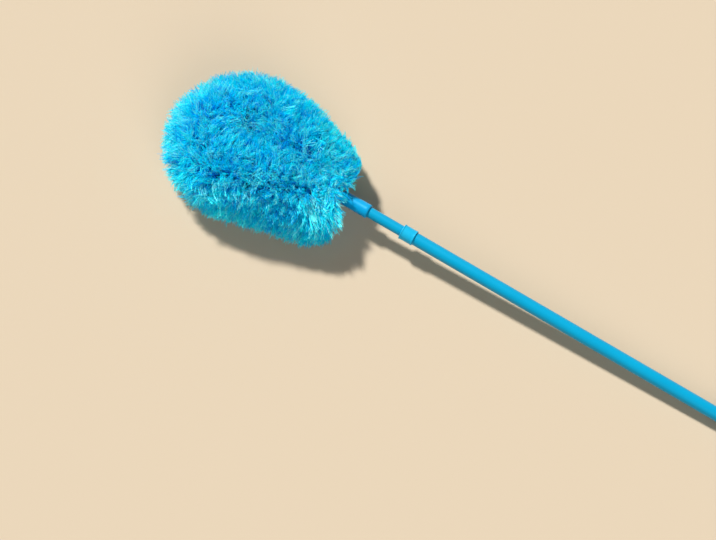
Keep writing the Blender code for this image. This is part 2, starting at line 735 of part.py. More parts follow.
def settle():
    """Lays the pole at its slope, and puts the middle of the object's base at the origin."""
    POLE_AXIS.location.z = MOUTH_HEIGHT
    POLE_AXIS.rotation_euler.y = -SLOPE
    bpy.context.view_layer.update()
    points = []
    graph = bpy.context.evaluated_depsgraph_get()
    for thing in bpy.data.objects:
        if thing.type == "MESH" and not thing.hide_render:
            shape = thing.evaluated_get(graph)
            points += [shape.matrix_world @ vertex.co for vertex in shape.data.vertices]
    low = [min(point[side] for point in points) for side in range(3)]
    high = [max(point[side] for point in points) for side in range(3)]
    LYING.location = (-(low[0] + high[0]) / 2, -(low[1] + high[1]) / 2, -low[2])


clear_scene()
LYING = empty("lying_duster")
POLE_AXIS = empty("pole_axis", LYING)

HIDDEN = material("hidden shape", 200, 60, 60, 0.5)
TUBE_PAINT = material("blue tube paint", 4, 176, 221, 0.35)
COLLAR_PLASTIC = material("pale blue collar", 48, 190, 228, 0.4)
FERRULE_PLASTIC = material("blue ferrule", 6, 160, 212, 0.4)
GRIP_PLASTIC = material("blue grip", 8, 150, 200, 0.5)
LOCK_PLASTIC = material("white lock plastic", 226, 226, 220, 0.5)
STEEL = material("steel", 176, 178, 182, 0.3, 1.0)
FIBRE = material("blue fibre", 20, 170, 214, 0.6)

RIVET_CUTTER = helper(
    "rivet_hole_cutter",
    rod(RIVET_SHANK_RADIUS + CLEARANCE, INNER_BORE / 2, 2 * FERRULE_RADIUS),
    RIVET_PLACE,
)
RIVET_CUTTER.rotation_euler.y = math.pi / 2

outer_tube()
guide_collar()
hand_grip()
hanger_cap()
inner_tube()
lock_spindle()
expander_sleeve()
lock_cone()
stop_nut()
ferrule()
ferrule_rivet()
core_plug()
core_wire("core_wire_a", 0.0)
core_wire("core_wire_b", math.pi)
for bunch in range(BUNCHES):
    fibre_bunch(bunch)
settle()
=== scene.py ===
"""The looks of a fluffy duster on a telescopic pole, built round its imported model."""

import json
import math

import bmesh
import bpy
from mathutils import Matrix, Vector


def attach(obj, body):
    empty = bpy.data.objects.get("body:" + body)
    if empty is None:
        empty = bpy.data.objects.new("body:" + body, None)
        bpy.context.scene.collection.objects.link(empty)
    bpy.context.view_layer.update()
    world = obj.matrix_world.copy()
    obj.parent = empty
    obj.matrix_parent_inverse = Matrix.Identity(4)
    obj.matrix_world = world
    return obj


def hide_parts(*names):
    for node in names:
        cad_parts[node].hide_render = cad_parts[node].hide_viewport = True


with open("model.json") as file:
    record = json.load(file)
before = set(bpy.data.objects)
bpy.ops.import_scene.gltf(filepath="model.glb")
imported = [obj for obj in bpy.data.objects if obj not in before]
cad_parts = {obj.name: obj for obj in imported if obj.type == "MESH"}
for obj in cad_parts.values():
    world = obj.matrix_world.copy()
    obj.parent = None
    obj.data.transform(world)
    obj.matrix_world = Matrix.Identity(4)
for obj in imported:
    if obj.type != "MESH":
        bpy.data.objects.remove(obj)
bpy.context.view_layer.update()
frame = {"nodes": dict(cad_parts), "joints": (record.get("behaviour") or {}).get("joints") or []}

# The pole's own frame: X runs along the pole from the ferrule's mouth towards the head,
# and Z is up, square to it. Distances are in metres.
TWIST = next(joint for joint in frame["joints"] if joint["name"] == "pole_twist")
MOUTH = Vector(TWIST["pos_m"])
ALONG = Vector(TWIST["axis"]).normalized()
ACROSS = Vector((0.0, 1.0, 0.0))
UP = ALONG.cross(ACROSS)
POLE_TO_WORLD = Matrix.Translation(MOUTH) @ Matrix((ALONG, ACROSS, UP)).transposed().to_4x4()
SLOPE = math.atan2(ALONG.z, ALONG.x)

# Head: the wire loop, as the frame's core wires and fibre bunches have it
WIRE_START = 0.0271
WIRE_BEND_START = 0.0465
WIRE_SPACING = 0.0104
WIRE_BEND_RADIUS = 0.0200
LOOP_RADIUS = 0.0500
LOOP_CENTRE = 0.2080
PLUG_FRONT = 0.0453
BUNCHES = 12
FIBRE_LENGTH = 0.0620
FIBRE_DROOP = 0.0092
UNPRESSED_SHARE = 0.45
SIDE_LEAN = 0.062
SIDE_LEAN_START = 0.0300
ROOT_COMB = 0.0200
ROOT_COMB_FADE = 0.0400

# Meshes: sides of a round piece, the angle from which an edge is sharp, and a near-zero
ROUND_SIDES = 96
SHARP_EDGE = math.radians(40)
TINY = 1e-6

# Small parts of the pole
CLEARANCE = 0.0003
TUBE_EDGE_SHARE = 0.4
COLLAR_LIP = 0.0030
COLLAR_RIM_ROUND = 0.0011
COLLAR_RIM_RUN = 2.6
COLLAR_BAND_SUNK = 0.0006
COLLAR_SOFT = 0.0004
FERRULE_LIP = 0.0014
FERRULE_MOUTH_ROUND = 0.0006
FERRULE_BAND_END = 0.0052
FERRULE_STEP_END = 0.0058
FERRULE_STEP = 0.00025
FERRULE_FRONT_SUNK = 0.0005
FERRULE_FRONT_WALL = 0.0022
FERRULE_FRONT_DEPTH = 0.0040
RIVET_PLACE = 0.0120
RIVET_SIDES = 40
RIVET_HEAD_EDGE = 0.0002
RIVET_DOME_END_DEGREES = 4
RIVET_HEAD_RADIUS = 0.0027
RIVET_HEAD_HEIGHT = 0.0010
RIVET_SHANK_RADIUS = 0.0015
RIVET_SHANK_LENGTH = 0.0034
GRIP_EDGE = 0.0018
GRIP_GROOVES = 5
GRIP_GROOVE_HALF = 0.0018
GRIP_GROOVE_DEPTH = 0.0009
GRIP_GROOVE_STEPS = 10
GRIP_RIBS = 36
GRIP_SIDES_IN_RIB = 6
GRIP_RIB_DEPTH = 0.00035
GRIP_RIB_RUN = 0.0016
GRIP_RIB_STEPS = 4
CAP_THICKNESS = 0.0040
CAP_EDGE = 0.0005
CAP_DOME = 0.0003
CAP_SHOULDER = 0.45
CAP_SHOULDER_RISE = 0.6
TAB_HALF = 0.0090
TAB_THICKNESS = 0.0060
TAB_EDGE = 0.0011
HANGING_EYE = 0.0045

# Strands. Each stands for a few fine fibres, and they are gathered into thin locks.
STRANDS_IN_BUNCH = 4900
STRAND_POINTS = 6
STRAND_SIDES = 3
STRAND_RADIUS = 0.00063
STRAND_ROOT_THICK = 0.60
STRAND_THICKENS = 1.4
STRAND_THINS = 1.6
STRAND_REACH = 1.07
STRAND_STRAY_LENGTH = 0.03
STRAND_STRAY_ALONG = 0.003
STRAND_STRAY_AROUND = 0.07
FIRST_BUNCH_AFTER_BEND = 0.0012
SEEDS_APART = 10
TIP_STRAND_EXTRA = 0.0070
ROOT_RADIUS = 0.0025
CROWNED = 0.25

# Locks and tufts, their waves, and the swirl of the whole head
LOCK_PITCH = 0.0034
LOCK_PULL = 0.72
LOCK_PULL_POWER = 1.2
LOCK_STRAY_LENGTH = 0.04
LOCK_STRAY_ALONG = 0.016
LOCK_STRAY_AROUND = 0.31
LOCK_WAVE = 0.014
LOCK_WAVE_SPREAD = 60
LOCK_WAVE_RUN = 1.8
STRAND_WAVE = 0.006
STRAND_WAVE_SPREAD = 7.31
STRAND_WAVE_RUN = 2.2
WAVE_UPWARDS = 0.8
TUFT_PITCH = 0.0150
TUFT_PULL = 0.12
TUFT_PULL_POWER = 2.0
CELL_SHARE = 0.7
SWIRL_SIZE = 0.045
SWIRL_ALONG = 0.010
SWIRL_AROUND = 0.30

# The shape of the head: its lean, its middle, its crown, its sides and its underside
TIP_LEAN_LESS = 0.020
MIDDLE_LIFT = 0.75
MIDDLE_EXTRA = 0.22
MIDDLE_OVERLAP = 0.012
MIDDLE_POWER = 6
MIDDLE_LIFT_SLOPE = 3
MIDDLE_LIFT_START = 0.6
LEAST_SLANT = 0.01
CROWN_DROP = 0.62
CROWN_DROP_LENGTH = 0.085
CROWN_HEIGHT = 0.1130
CROWN_SHORTER = 0.09
UPPER_SIDE_COMB = 0.026
LOWER_SIDE_COMB = 0.004
LOWER_BULGE = 0.022
UNDERSIDE_COMB = 0.024
LOWER_SIDE_SPLAY = 0.014
SIDE_SPLAY_START = 0.012
SIDE_SPLAY_FADE = 0.060
SIDE_SPLAY_LEAST = 0.3
SIDE_WIDTH = 0.030
PARTING_STRENGTH = 1.6

# How light each strand's colour is: what its lock, its tuft and chance give, and the palest locks.
# Dark strands are partly random tone and partly painted shade; the palest are painted highlights
SHADE_OF_LOCK = 1.15
SHADE_OF_TUFT = 0.08
SHADE_BY_CHANCE = (-0.36, 0.28)
SHADE_OF_HIGHLIGHT_LOCK = 0.3
HIGHLIGHT_LOCK_POWER = 4

# The fibres' map: its margin, its size, and the width of a strand's sides on it
MAP_MARGIN = 0.01
MAP_WIDTH = 0.98
MAP_HEIGHT = 0.94
MAP_SIDE_WIDTH = 0.006
MAP_SIDE_HEIGHT = 0.012

# Partings, where the fibres lie away from a gap: place along the pole, place across it,
# reach of the gap and how far it pushes the tips
PARTINGS = (
    (0.2387, -0.0160, 0.009, 0.005),
    (0.1200, -0.0260, 0.016, 0.014),
    (0.2020, -0.0290, 0.008, 0.005),
    (0.1720, -0.0500, 0.007, 0.004),
    (0.2080, 0.0080, 0.008, 0.005),
    (0.2300, 0.0330, 0.009, 0.005),
    (0.1330, 0.0240, 0.009, 0.005),
    (0.1750, 0.0420, 0.009, 0.005),
    (0.1100, 0.0290, 0.008, 0.005),
)


class Socket:
    """A node's output, on which sums are written as Python expressions."""

    def __init__(self, graph, output):
        self.graph = graph
        self.output = output

    def maths(self, operation, *values):
        return self.graph.add("ShaderNodeMath", {"operation": operation}, *values)

    def __add__(self, other):
        return self.maths("ADD", self, other)

    def __sub__(self, other):
        return self.maths("SUBTRACT", self, other)

    def __rsub__(self, other):
        return self.maths("SUBTRACT", other, self)

    def __mul__(self, other):
        return self.maths("MULTIPLY", self, other)

    def __truediv__(self, other):
        return self.maths("DIVIDE", self, other)

    def __pow__(self, other):
        return self.maths("POWER", self, other)

    __radd__ = __add__
    __rmul__ = __mul__

    def least(self, other):
        return self.maths("MINIMUM", self, other)

    def most(self, other):
        return self.maths("MAXIMUM", self, other)

    def within(self, low, high):
        return self.most(low).least(high)

    def part(self, name):
        """Another output of the same node."""
        node = self.output.node
        return Socket(self.graph, next(o for o in node.outputs if o.enabled and o.name == name))

    def xyz(self):
        """The three parts of a vector."""
        split = self.graph.add("ShaderNodeSeparateXYZ", {}, self)
        return split, split.part("Y"), split.part("Z")


class Graph:
    """A node tree that is filled one node at a time."""

    def __init__(self, tree):
        self.tree = tree

    def add(self, kind, settings, *values, **named):
        """Adds a node. Its settings come first, then the values or links of its sockets, in
        order or by name with underscores for spaces."""
        node = self.tree.nodes.new(kind)
        for name, value in settings.items():
            if name == "stops":
                self.set_stops(node.color_ramp, value)
            else:
                setattr(node, name, value)
        open_sockets = [socket for socket in node.inputs if socket.enabled]
        targets = dict(enumerate(values))
        for name, value in named.items():
            words = name.replace("_", " ")
            place = next(k for k, socket in enumerate(open_sockets) if socket.name == words)
            targets[place] = value
        for place, value in targets.items():
            if isinstance(value, Socket):
                self.tree.links.new(value.output, open_sockets[place])
            elif value is not None:
                open_sockets[place].default_value = value
        outputs = [output for output in node.outputs if output.enabled]
        return Socket(self, outputs[0]) if outputs else node

    @staticmethod
    def set_stops(ramp, stops):
        """Gives a colour ramp its stops, each a place and a colour."""
        while len(ramp.elements) < len(stops):
            ramp.elements.new(1.0)
        for element, (place, colour) in zip(ramp.elements, stops):
            element.position = place
            element.color = colour

    def vector(self, x=0.0, y=0.0, z=0.0):
        return self.add("ShaderNodeCombineXYZ", {}, x, y, z)

    def stretch(self, vector, *factors):
        """A vector with each of its parts times a number."""
        return self.add("ShaderNodeVectorMath", {"operation": "MULTIPLY"}, vector, factors)


def tint(red, green, blue):
    """A colour for a node, from display values of 0 to 255."""
    return (*[((value / 255 + 0.055) / 1.055) ** 2.4 for value in (red, green, blue)], 1.0)


# Finishes

SHEEN_TINT = (0.25, 0.80, 1.0, 1.0)
WHITE = (1.0, 1.0, 1.0, 1.0)
# Fibre tints: the deep one is dye plus painted shade on dark strands, and the pale one paints
# highlights on the palest strands
DEEP_DYE_AND_SHADE = (0.03, 0.46, 0.92, 1.0)
PALE_HIGHLIGHT_TINT = tint(128, 252, 255)
FIBRE_GLOSS = (0.05, 0.80, 1.0, 1.0)
DYE_AND_SHADE_GAIN = 1.4
HIGHLIGHT_FROM = 0.87
HIGHLIGHT_GAIN = 4


def finish_graph(name):
    """A new material and its graph, still empty."""
    material = bpy.data.materials.new(name)
    material.use_nodes = True
    graph = Graph(material.node_tree)
    graph.tree.nodes.clear()
    return material, graph


def place_on_pole(graph):
    """Object coordinates turned so that X runs along the pole."""
    place = graph.add("ShaderNodeTexCoord", {}).part("Object")
    settings = {"vector_type": "TEXTURE"}
    return graph.add("ShaderNodeMapping", settings, place, tuple(MOUTH), (0.0, -SLOPE, 0.0))


def surface(graph, **sockets):
    """The surface shader, with its sockets' values or links."""
    shader = graph.add("ShaderNodeBsdfPrincipled", {}, **sockets)
    graph.add("ShaderNodeOutputMaterial", {}, shader)


def blend(graph, share, first, second):
    """A colour between two others."""
    return graph.add("ShaderNodeMix", {"data_type": "RGBA"}, Factor=share, A=first, B=second)


def grain(graph, place, scale, detail=2.0):
    """Soft noise from 0 to 1."""
    return graph.add("ShaderNodeTexNoise", {}, place, Scale=scale, Detail=detail)


def raised(graph, height, distance):
    """A bump of small relief."""
    return graph.add("ShaderNodeBump", {}, Distance=distance, Height=height)


def tube_paint():
    """Satin paint on steel tube, with faint draw lines, orange peel and rubbed spots."""
    material, graph = finish_graph("tube paint")
    place = place_on_pole(graph)
    lines = grain(graph, graph.stretch(place, 0.04, 1.0, 1.0), scale=900.0)
    cloud = grain(graph, place, scale=22.0)
    peel = grain(graph, place, scale=1500.0)
    colour = blend(graph, cloud, tint(0, 149, 193), tint(1, 160, 203))
    rough = 0.30 + 0.12 * cloud + 0.08 * lines
    normal = raised(graph, 0.7 * lines + 0.3 * peel, distance=0.00003)
    surface(
        graph,
        Base_Color=colour,
        Roughness=rough,
        Normal=normal,
        Specular_IOR_Level=0.4,
        Specular_Tint=SHEEN_TINT,
    )
    return material


def moulded_plastic(name, dark, light, rough, relief, sheen=SHEEN_TINT):
    """Moulded plastic with a fine spark-eroded grain and slight flow marks."""
    material, graph = finish_graph(name)
    place = place_on_pole(graph)
    flow = grain(graph, place, scale=60.0, detail=3.0)
    fine = grain(graph, place, scale=2600.0)
    colour = blend(graph, flow, dark, light)
    normal = raised(graph, fine, relief)
    roughness = rough - 0.05 + 0.1 * flow + 0.05 * fine
    surface(
        graph,
        Base_Color=colour,
        Roughness=roughness,
        Normal=normal,
        Specular_IOR_Level=0.4,
        Specular_Tint=sheen,
    )
    return material


def bare_steel():
    """Zinc-plated steel with a cloudy, lightly brushed surface."""
    material, graph = finish_graph("zinc-plated steel")
    place = place_on_pole(graph)
    cloud = grain(graph, place, scale=300.0, detail=4.0)
    brushed = grain(graph, graph.stretch(place, 0.2, 1.0, 1.0), scale=2200.0)
    colour = blend(graph, cloud, tint(150, 153, 158), tint(196, 198, 202))
    rough = 0.25 + 0.2 * cloud
    normal = raised(graph, brushed, distance=0.00002)
    surface(graph, Base_Color=colour, Roughness=rough, Metallic=1.0, Normal=normal)
    return material


def fibre_finish():
    """Dyed fibre, with painted shade on its roots and dark strands and painted highlights on its tips
    and palest strands.
    """
    material, graph = finish_graph("dyed fibre")
    share = graph.add("ShaderNodeAttribute", {"attribute_name": "share"}).part("Fac")
    shade = graph.add("ShaderNodeAttribute", {"attribute_name": "shade"}).part("Fac")
    # Darker towards the roots, as painted shade deep in the pile, and paler towards the tips, as
    # painted light
    stops = (
        (0.0, tint(0, 176, 255)),
        (0.4, tint(0, 226, 255)),
        (0.75, tint(0, 242, 255)),
        (1.0, tint(12, 246, 255)),
    )
    along = graph.add("ShaderNodeValToRGB", {"stops": stops}, share)
    settings = {"data_type": "RGBA", "blend_type": "MULTIPLY"}
    # Low shade takes the deep tint, dye plus painted shade; the palest strands take the pale tint as
    # painted highlights
    dyed_and_shaded = graph.add("ShaderNodeMix", settings, Factor=1.0, A=along, B=DEEP_DYE_AND_SHADE)
    even = blend(graph, (shade * DYE_AND_SHADE_GAIN).within(0.0, 1.0), dyed_and_shaded, along)
    colour = blend(graph, ((shade - HIGHLIGHT_FROM) * HIGHLIGHT_GAIN).within(0.0, 1.0), even, PALE_HIGHLIGHT_TINT)
    surface(
        graph,
        Base_Color=colour,
        Roughness=0.33,
        Specular_IOR_Level=1.0,
        Specular_Tint=FIBRE_GLOSS,
        Subsurface_Weight=0.4,
        Subsurface_Radius=(0.1, 0.8, 1.0),
        Subsurface_Scale=0.001,
    )
    return material


TUBE_PAINT = tube_paint()
COLLAR_PLASTIC = moulded_plastic(
    "collar plastic", tint(10, 164, 210), tint(32, 182, 224), rough=0.36, relief=0.00002
)
FERRULE_PLASTIC = moulded_plastic(
    "ferrule plastic", tint(0, 146, 200), tint(1, 158, 212), rough=0.38, relief=0.00002
)
GRIP_PLASTIC = moulded_plastic(
    "grip plastic", tint(4, 140, 192), tint(14, 158, 208), rough=0.58, relief=0.00012
)
LOCK_PLASTIC = moulded_plastic(
    "lock plastic", tint(214, 214, 206), tint(232, 232, 226), rough=0.5, relief=0.00003, sheen=WHITE
)
STEEL = bare_steel()
FIBRE = fibre_finish()


# Pieces


def show(mesh, name, finish, body, slot, *nodes):
    """Makes a finished mesh, in the pole's frame, a piece that stands for CAD nodes."""
    mesh.transform(POLE_TO_WORLD)
    mesh.name = name
    if not mesh.materials:
        mesh.materials.append(finish)
    piece = bpy.data.objects.new(name, mesh)
    bpy.context.scene.collection.objects.link(piece)
    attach(piece, body)
    if nodes:
        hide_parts(*nodes)
    return piece


def extent(node):
    """Where a round CAD node starts and ends along the pole, its bore and its radius."""
    to_pole = POLE_TO_WORLD.inverted()
    points = [to_pole @ vertex.co for vertex in frame["nodes"][node].data.vertices]
    radii = [math.hypot(point.y, point.z) for point in points]
    places = [point.x for point in points]
    return min(places), max(places), min(radii), max(radii)


def turned(outline, sides=ROUND_SIDES, hollow=True, ribs=0):
    """A smooth round mesh about X from its outline of (x, radius) points. A point's third
    number is the depth there of the valleys between lengthwise ribs."""
    shape = bmesh.new()
    rings = []
    for x, radius, *valley in outline:
        around = sides if radius > 0 else 1
        ring = []
        for k in range(around):
            turn = 2 * math.pi * k / around
            sunk = sum(valley) * (0.5 - 0.5 * math.cos(ribs * turn))
            place = (x, (radius - sunk) * math.cos(turn), (radius - sunk) * math.sin(turn))
            ring.append(shape.verts.new(place))
        rings.append(ring)
    pairs = list(zip(rings, rings[1:]))
    if hollow:
        pairs.append((rings[-1], rings[0]))
    for first, second in pairs:
        for k in range(sides):
            ends = (k, (k + 1) % sides)
            corners = [first[end % len(first)] for end in ends]
            corners += [second[end % len(second)] for end in reversed(ends)]
            shape.faces.new(dict.fromkeys(corners))
    bmesh.ops.recalc_face_normals(shape, faces=shape.faces)
    mesh = bpy.data.meshes.new("turned")
    shape.to_mesh(mesh)
    shape.free()
    mesh.shade_smooth()
    mesh.set_sharp_from_angle(angle=SHARP_EDGE)
    return mesh


def arc(x, radius, size, start, end, steps=6):
    """Points (x, radius) of a rounded edge, between two angles in degrees from +X."""
    turns = [math.radians(start + (end - start) * step / steps) for step in range(steps + 1)]
    return [(x + size * math.cos(turn), radius + size * math.sin(turn)) for turn in turns]


def tube(node, body):
    """A plain tube with its cut ends lightly rounded."""
    start, end, bore, radius = extent(node)
    edge = (radius - bore) * TUBE_EDGE_SHARE
    outline = [(start, bore)]
    outline += arc(start + edge, radius - edge, edge, 180, 90)
    outline += arc(end - edge, radius - edge, edge, 90, 0)
    outline += [(end, bore)]
    show(turned(outline), node + "_skin", TUBE_PAINT, body, "tube_paint", node)


def collar():
    """The guide collar: a soft-edged cap with a raised, rounded rim at each end."""
    start, end, bore, radius = extent("guide_collar")
    outer_bore = extent("outer_tube")[3] + CLEARANCE
    rim = COLLAR_RIM_ROUND
    band = radius - COLLAR_BAND_SUNK
    soft = COLLAR_SOFT
    outline = [(end - soft, bore)]
    outline += arc(end - rim, radius - rim, rim, 0, 150)
    outline += arc(end - COLLAR_RIM_RUN * rim, band + soft, soft, 300, 270, steps=3)
    outline += arc(start + COLLAR_RIM_RUN * rim, band + soft, soft, 270, 240, steps=3)
    outline += arc(start + rim, radius - rim, rim, 30, 180)
    outline += [(start, outer_bore + soft), (start + soft, outer_bore)]
    outline += [(end - COLLAR_LIP, outer_bore), (end - COLLAR_LIP, bore)]
    mesh = turned(outline)
    show(mesh, "guide_collar_skin", COLLAR_PLASTIC, "outer_pole", "collar_plastic", "guide_collar")


def ferrule_skin():
    """The ferrule, with a rounded mouth, a shallow step behind it and a soft front edge."""
    start, end, _, radius = extent("ferrule")
    bore = extent("inner_tube")[3] + CLEARANCE
    front = radius - FERRULE_FRONT_SUNK
    inner = front - FERRULE_FRONT_WALL
    floor = end - FERRULE_FRONT_DEPTH
    lip = FERRULE_LIP
    mouth = FERRULE_MOUTH_ROUND
    outline = [(start + mouth, bore)]
    outline += arc(start + mouth, bore + mouth, mouth, 270, 180, steps=3)
    outline += arc(start + lip, radius - lip, lip, 180, 90)
    outline += [(start + FERRULE_BAND_END, radius)]
    outline += [(start + FERRULE_STEP_END, radius - FERRULE_STEP)]
    outline += arc(end - lip, front - lip, lip, 90, 0)
    outline += [(end, inner), (floor, inner), (floor, bore)]
    show(turned(outline), "ferrule_skin", FERRULE_PLASTIC, "inner_pole", "ferrule_plastic", "ferrule")


def ferrule_rivet():
    """The rivet under the ferrule, with a domed head."""
    head = extent("ferrule")[3] + CLEARANCE
    swell = (RIVET_HEAD_RADIUS**2 + RIVET_HEAD_HEIGHT**2) / (2 * RIVET_HEAD_HEIGHT)
    widest = math.degrees(math.asin(RIVET_HEAD_RADIUS / swell))
    back = head - RIVET_SHANK_LENGTH
    outline = [(back, 0.0), (back, RIVET_SHANK_RADIUS)]
    outline += [(head, RIVET_SHANK_RADIUS), (head, RIVET_HEAD_RADIUS - RIVET_HEAD_EDGE)]
    centre = head + RIVET_HEAD_HEIGHT - swell
    outline += arc(centre, 0.0, swell, widest, RIVET_DOME_END_DEGREES, steps=8)
    outline += [(head + RIVET_HEAD_HEIGHT, 0.0)]
    mesh = turned(outline, RIVET_SIDES, hollow=False)
    downwards = Matrix.Rotation(math.pi / 2, 4, "Y")
    mesh.transform(Matrix.Translation((RIVET_PLACE, 0.0, 0.0)) @ downwards)
    show(mesh, "ferrule_rivet_skin", STEEL, "inner_pole", "steel", "ferrule_rivet")


def hand_grip():
    """The grip: rounded grooves, and bands between them with fine lengthwise ribs."""
    start, end, _, radius = extent("hand_grip")
    bore = extent("outer_tube")[3] + CLEARANCE
    spacing = (end - start) / (GRIP_GROOVES + 1)
    outline = [(start, bore)]
    outline += arc(start + GRIP_EDGE, radius - GRIP_EDGE, GRIP_EDGE, 180, 90)
    for band in range(GRIP_GROOVES + 1):
        low = start + band * spacing + max(GRIP_EDGE, GRIP_GROOVE_HALF)
        high = start + (band + 1) * spacing - max(GRIP_EDGE, GRIP_GROOVE_HALF)
        ends = []
        for step in range(GRIP_RIB_STEPS + 1):
            rise = GRIP_RIB_DEPTH * math.sin(math.pi / 2 * step / GRIP_RIB_STEPS)
            ends.append((GRIP_RIB_RUN * step / GRIP_RIB_STEPS, rise))
        outline += [(low + run, radius, rise) for run, rise in ends]
        outline += [(high - run, radius, rise) for run, rise in reversed(ends)]
        if band < GRIP_GROOVES:
            for step in range(1, GRIP_GROOVE_STEPS):
                across = 2 * step / GRIP_GROOVE_STEPS - 1
                sunk = GRIP_GROOVE_DEPTH * (0.5 + 0.5 * math.cos(math.pi * across))
                middle = start + (band + 1) * spacing
                outline.append((middle + across * GRIP_GROOVE_HALF, radius - sunk))
    outline += arc(end - GRIP_EDGE, radius - GRIP_EDGE, GRIP_EDGE, 90, 0)
    outline += [(end, bore)]
    mesh = turned(outline, GRIP_SIDES_IN_RIB * GRIP_RIBS, ribs=GRIP_RIBS)
    show(mesh, "hand_grip_skin", GRIP_PLASTIC, "outer_pole", "grip_plastic", "hand_grip")


def tab(middle, root, half, thickness, eye, edge, points=ROUND_SIDES, steps=5):
    """A flat tab with a round end and a round eye, both about middle, all its edges rounded.
    It runs to root along X."""
    shape = bmesh.new()
    level = thickness / 2 - edge
    quarter = [math.pi / 2 * step / steps for step in range(steps + 1)]
    rounding = [(edge * (1 - math.cos(a)), level + edge * math.sin(a)) for a in quarter]
    edges = [(inset, -height) for inset, height in reversed(rounding)] + rounding
    rings = []
    for inset, height in edges:
        ring = []
        for k in range(points):
            turn = 2 * math.pi * k / points
            x = math.cos(turn)
            y = math.sin(turn)
            if x <= 0:
                ring.append((middle + (half - inset) * x, (half - inset) * y, height))
            else:
                reach = min((half - inset) / max(abs(y), TINY), (root - middle) / x)
                ring.append((middle + reach * x, reach * y, height))
        rings.append(ring)
    for inset, height in reversed(edges):
        turns = [2 * math.pi * k / points for k in range(points)]
        size = eye + inset
        rings.append([(middle + size * math.cos(a), size * math.sin(a), height) for a in turns])
    corners = [[shape.verts.new(place) for place in ring] for ring in rings]
    for first, second in zip(corners, corners[1:] + corners[:1]):
        for k in range(points):
            after = (k + 1) % points
            shape.faces.new((first[k], first[after], second[after], second[k]))
    bmesh.ops.recalc_face_normals(shape, faces=shape.faces)
    return shape


def hanger_cap():
    """The end cap: its plug in the tube, a domed cap and a tab with a hanging eye."""
    tip, plug_end, _, radius = extent("hanger_cap")
    front = extent("outer_tube")[0] - CLEARANCE
    plug = extent("outer_tube")[2] - CLEARANCE
    soft = CAP_THICKNESS / 2
    back = front - CAP_THICKNESS
    outline = [(plug_end, 0.0), (plug_end, plug - CAP_EDGE), (plug_end - CAP_EDGE, plug)]
    outline += [(front, plug), (front, radius - CAP_EDGE), (front - CAP_EDGE, radius)]
    outline += arc(back + soft, radius - soft, soft, 90, 180, steps=8)
    outline += [(back - CAP_DOME * CAP_SHOULDER_RISE, radius * CAP_SHOULDER)]
    outline += [(back - CAP_DOME, 0.0)]
    mesh = turned(outline, hollow=False)
    shape = tab(tip + TAB_HALF, back + soft, TAB_HALF, TAB_THICKNESS, HANGING_EYE, TAB_EDGE)
    shape.from_mesh(mesh)
    shape.to_mesh(mesh)
    shape.free()
    mesh.shade_smooth()
    mesh.set_sharp_from_angle(angle=SHARP_EDGE)
    show(mesh, "hanger_cap_skin", GRIP_PLASTIC, "outer_pole", "grip_plastic", "hanger_cap")


tube("outer_tube", "outer_pole")
tube("inner_tube", "inner_pole")
collar()
ferrule_skin()
ferrule_rivet()
hand_grip()
hanger_cap()


# Head


def wire_route(spacing=0.002):
    """The flat route of the twisted wires as points: out of the plug, round the loop and
    back. Also gives its length and the length before its first bend ends."""
    across = LOOP_CENTRE - WIRE_BEND_START
    reach = LOOP_RADIUS + WIRE_BEND_RADIUS
    offset = WIRE_SPACING / 2 + WIRE_BEND_RADIUS
    lean = math.asin(reach / math.hypot(across, offset)) - math.atan2(offset, across)
    leg = (across - reach * math.sin(lean)) / math.cos(lean)
    turn = math.pi + 2 * lean
    stretches = (
        (WIRE_BEND_START - WIRE_START, 0.0),
        (WIRE_BEND_RADIUS * lean, lean),
        (leg, 0.0),
        (LOOP_RADIUS * turn, -turn),
        (leg, 0.0),
        (WIRE_BEND_RADIUS * lean, lean),
        (WIRE_BEND_START - WIRE_START, 0.0),
    )
    place = Vector((WIRE_START, WIRE_SPACING / 2, 0.0))
    heading = 0.0
    points = [place.copy()]
    for length, turned_by in stretches:
        steps = math.ceil(length / spacing)
        for _ in range(steps):
            middle = heading + turned_by / steps / 2
            place += length / steps * Vector((math.cos(middle), math.sin(middle), 0.0))
            heading += turned_by / steps
            points.append(place.copy())
    total = sum(length for length, _ in stretches)
    return points, total, stretches[0][0] + stretches[1][0]


def route_object(points):
    """A hidden curve along the wires' route."""
    curve = bpy.data.curves.new("wire route", "CURVE")
    curve.dimensions = "3D"
    spline = curve.splines.new("POLY")
    spline.points.add(len(points) - 1)
    for point, place in zip(spline.points, points):
        point.co = (*place, 1.0)
    route = bpy.data.objects.new("wire_route", curve)
    bpy.context.scene.collection.objects.link(route)
    return route


def add_input(tree, name, kind, value=None):
    """Adds a named input to a tree."""
    socket = tree.interface.new_socket(name=name, in_out="INPUT", socket_type="NodeSocket" + kind)
    if value is not None:
        socket.default_value = value


